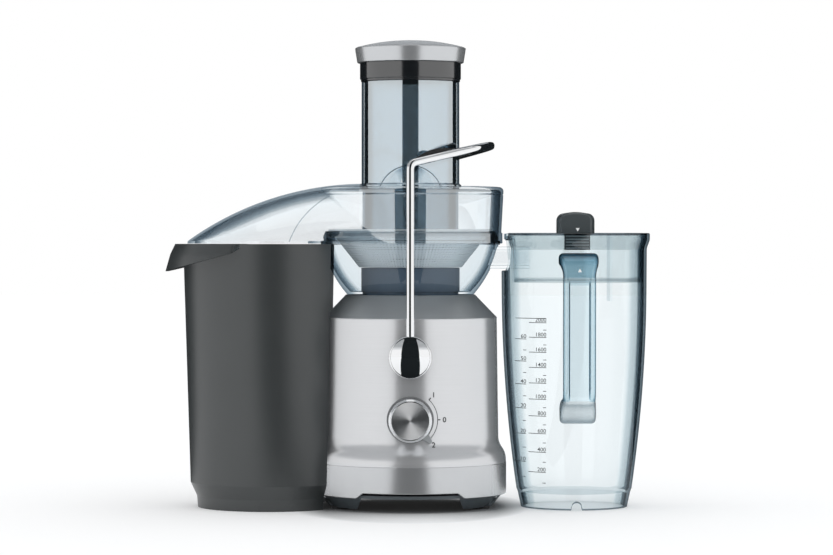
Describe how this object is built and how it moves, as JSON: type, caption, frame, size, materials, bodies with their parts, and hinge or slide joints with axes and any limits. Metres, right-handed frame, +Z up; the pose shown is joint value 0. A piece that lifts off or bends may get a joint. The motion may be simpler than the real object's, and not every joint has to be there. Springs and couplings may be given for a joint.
{
  "type": "centrifugal juicer",
  "caption": "Upright centrifugal juicer with steel motor base, clear bowl and cover with feed chute and pusher, swing-over locking arm, pulp bin and lidded juice jug.",
  "frame": {"origin": "where the drive axis meets the table, at the middle of the footprint", "axes": "+Z up along the drive axis, +X toward the jug, -Y toward the dial at the front"},
  "size_m": [0.4643, 0.218, 0.4465],
  "materials": {
    "brushed_steel": "brushed",
    "silver_plastic": "satin metallic paint",
    "dark_plastic": "matte",
    "bin_plastic": "fine matte",
    "clear_plastic": "clear, smoky",
    "jug_plastic": "clear, blue tint",
    "black_plastic": "satin",
    "chrome": "polished",
    "spun_metal": "spun",
    "mesh_steel": "perforated",
    "basket_plastic": "matte",
    "rubber": "matte",
    "steel": "machined",
    "lamination": "varnished laminations",
    "copper": "varnished wire",
    "nylon": "matte",
    "carbon": "matte",
    "board": "solder mask"
  },
  "bodies": {
    "base": {"foot_pads": "rubber", "base_tray": "dark_plastic", "case_screws": "steel", "base_trim": "silver_plastic", "body_wrap": "brushed_steel", "top_cone": "silver_plastic", "drive_hub": "dark_plastic", "shaft_seal": "rubber", "cord_gland": "dark_plastic", "motor_mounts": "rubber", "upper_plate": "steel", "lower_plate": "steel", "upper_bearing": "steel", "lower_bearing": "steel", "tie_bolts": "steel", "stator_core": "lamination", "field_coils": "copper", "brush_holders": "nylon", "carbon_brushes": "carbon", "control_board": "board", "control_panel": "steel", "rotary_switch": "nylon", "interlock_switch": "nylon", "pivot_bosses": "dark_plastic", "pivot_bushes": "nylon", "dial_escutcheon": "silver_plastic", "juice_bowl": "clear_plastic", "cover": "clear_plastic", "feed_chute": "clear_plastic"},
    "spinner": {"motor_shaft": "steel", "rotor_core": "lamination", "armature_coils": "copper", "commutator": "copper", "cooling_fan": "nylon", "drive_coupling": "basket_plastic", "basket_hub": "basket_plastic", "cutting_disc": "mesh_steel", "filter_mesh": "mesh_steel", "basket_rim": "basket_plastic"},
    "dial": {"speed_dial": "spun_metal", "dial_face": "spun_metal", "dial_shaft": "steel"},
    "arm": {"locking_arm": "chrome", "pivot_caps": "chrome", "pivot_pins": "steel", "pivot_clips": "steel"},
    "pusher": {"pusher_tube": "clear_plastic", "pusher_collar": "black_plastic", "pusher_cap": "silver_plastic"},
    "bin": {"pulp_bin": "bin_plastic"},
    "jug": {"juice_jug": "jug_plastic"},
    "jug_lid": {"jug_lid": "jug_plastic", "froth_separator": "jug_plastic", "lid_tab": "black_plastic"}
  },
  "joints": [
    {"name": "basket_spin", "type": "hinge", "parent": "base", "child": "spinner", "pos_m": [0, 0, 0.1], "axis": [0, 0, 1], "continuous": true},
    {"name": "dial_turn", "type": "hinge", "parent": "base", "child": "dial", "pos_m": [0, -0.095, 0.0872], "axis": [0, -1, 0], "range_deg": [0, 94]},
    {"name": "lock_arm_swing", "type": "hinge", "parent": "base", "child": "arm", "pos_m": [0, 0, 0.146], "axis": [0, 1, 0], "range_deg": [0, 25]},
    {"name": "pusher_slide", "type": "slide", "parent": "base", "child": "pusher", "axis": [0, 0, 1], "range_m": [0, 0.17]},
    {"name": "jug_pull", "type": "slide", "parent": "base", "child": "jug", "axis": [1, 0, 0], "range_m": [0, 0.15]},
    {"name": "jug_lid_lift", "type": "slide", "parent": "jug", "child": "jug_lid", "axis": [0, 0, 1], "range_m": [0, 0.06]},
    {"name": "bin_pull", "type": "slide", "parent": "base", "child": "bin", "axis": [-1, 0, 0], "range_m": [0, 0.2]}
  ]
}
